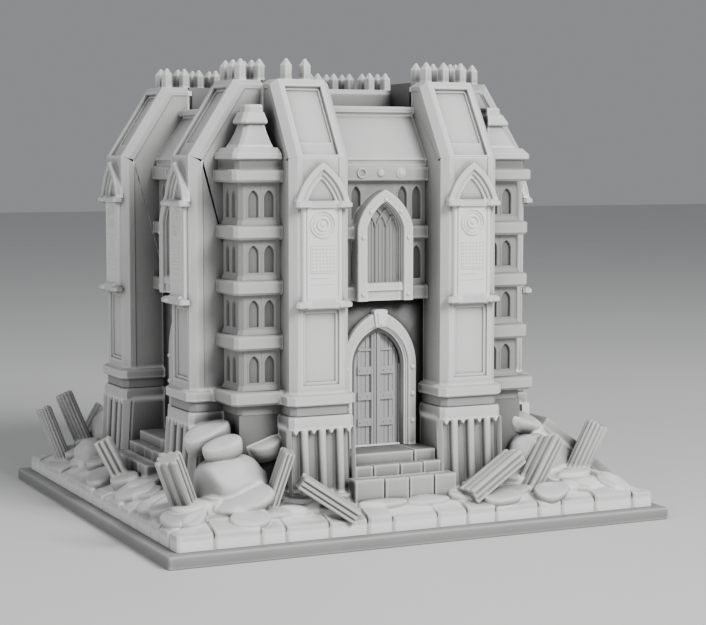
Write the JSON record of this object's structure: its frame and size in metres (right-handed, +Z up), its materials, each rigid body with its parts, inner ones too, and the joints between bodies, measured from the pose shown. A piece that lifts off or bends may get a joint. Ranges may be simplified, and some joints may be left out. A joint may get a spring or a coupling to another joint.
{
  "type": "terrain tower",
  "caption": "Gothic corner-buttressed tower on a square rubble-strewn base, tabletop game terrain, with hinged double doors, a hollow room and a lift-off roof block.",
  "frame": {"origin": "middle of the base plate's underside", "axes": "+Z up, +X along the longer side of the base plate, -Y towards the front of the piece"},
  "size_m": [0.2, 0.1916, 0.1723],
  "materials": {
    "resin_tower": "matte, fine print texture",
    "resin_door": "matte, fine print texture",
    "resin_ground": "matte, fine print texture",
    "pin_steel": "drawn wire"
  },
  "bodies": {
    "tower": {"arcade_back": "resin_tower", "arcade_front": "resin_tower", "arcade_left": "resin_tower", "arcade_right": "resin_tower", "base_plate": "resin_ground", "bay_roof_back": "resin_tower", "bay_roof_front": "resin_tower", "bay_roof_left": "resin_tower", "bay_roof_right": "resin_tower", "buttress_back_left": "resin_tower", "buttress_back_right": "resin_tower", "buttress_front_left": "resin_tower", "buttress_front_right": "resin_tower", "buttress_left_left": "resin_tower", "buttress_left_right": "resin_tower", "buttress_plaques": "resin_tower", "buttress_plinths": "resin_tower", "buttress_right_left": "resin_tower", "buttress_right_right": "resin_tower", "core_walls": "resin_tower", "door_frame_back": "resin_tower", "door_frame_front": "resin_tower", "door_frame_left": "resin_tower", "door_frame_right": "resin_tower", "door_hinge_pins": "pin_steel", "fallen_columns": "resin_ground", "paving_flagstones": "resin_ground", "paving_kerb_blocks": "resin_ground", "podium": "resin_tower", "roof_spikes": "resin_tower", "rubble_boulders": "resin_ground", "steps_back": "resin_tower", "steps_front": "resin_tower", "steps_left": "resin_tower", "steps_right": "resin_tower", "turret_back_left": "resin_tower", "turret_back_right": "resin_tower", "turret_front_left": "resin_tower", "turret_front_right": "resin_tower", "turret_roof_back_left": "resin_tower", "turret_roof_back_right": "resin_tower", "turret_roof_front_left": "resin_tower", "turret_roof_front_right": "resin_tower", "window_back": "resin_tower", "window_front": "resin_tower", "window_left": "resin_tower", "window_right": "resin_tower"},
    "roof_lid": {"roof_lid": "resin_tower"},
    "door_leaf_front_left": {"door_leaf_front_left": "resin_door"},
    "door_leaf_front_right": {"door_leaf_front_right": "resin_door"},
    "door_leaf_right_left": {"door_leaf_right_left": "resin_door"},
    "door_leaf_right_right": {"door_leaf_right_right": "resin_door"},
    "door_leaf_back_left": {"door_leaf_back_left": "resin_door"},
    "door_leaf_back_right": {"door_leaf_back_right": "resin_door"},
    "door_leaf_left_left": {"door_leaf_left_left": "resin_door"},
    "door_leaf_left_right": {"door_leaf_left_right": "resin_door"}
  },
  "joints": [
    {"name": "door_leaf_front_left_swing", "type": "hinge", "parent": "tower", "child": "door_leaf_front_left", "pos_m": [-0.01564, -0.05455, 0.0455], "axis": [0, 0, 1], "range_deg": [0, 90]},
    {"name": "door_leaf_front_right_swing", "type": "hinge", "parent": "tower", "child": "door_leaf_front_right", "pos_m": [0.00696, -0.05455, 0.0455], "axis": [0, 0, -1], "range_deg": [0, 90]},
    {"name": "door_leaf_right_left_swing", "type": "hinge", "parent": "tower", "child": "door_leaf_right_left", "pos_m": [0.04586, -0.00935, 0.0455], "axis": [0, 0, 1], "range_deg": [0, 90]},
    {"name": "door_leaf_right_right_swing", "type": "hinge", "parent": "tower", "child": "door_leaf_right_right", "pos_m": [0.04586, 0.01325, 0.0455], "axis": [0, 0, -1], "range_deg": [0, 90]},
    {"name": "door_leaf_back_left_swing", "type": "hinge", "parent": "tower", "child": "door_leaf_back_left", "pos_m": [0.00696, 0.05845, 0.0455], "axis": [0, 0, 1], "range_deg": [0, 90]},
    {"name": "door_leaf_back_right_swing", "type": "hinge", "parent": "tower", "child": "door_leaf_back_right", "pos_m": [-0.01564, 0.05845, 0.0455], "axis": [0, 0, -1], "range_deg": [0, 90]},
    {"name": "door_leaf_left_left_swing", "type": "hinge", "parent": "tower", "child": "door_leaf_left_left", "pos_m": [-0.05454, 0.01325, 0.0455], "axis": [0, 0, 1], "range_deg": [0, 90]},
    {"name": "door_leaf_left_right_swing", "type": "hinge", "parent": "tower", "child": "door_leaf_left_right", "pos_m": [-0.05454, -0.00935, 0.0455], "axis": [0, 0, -1], "range_deg": [0, 90]},
    {"name": "roof_lid_lift", "type": "slide", "parent": "tower", "child": "roof_lid", "axis": [0, 0, 1], "range_m": [0, 0.03]}
  ]
}
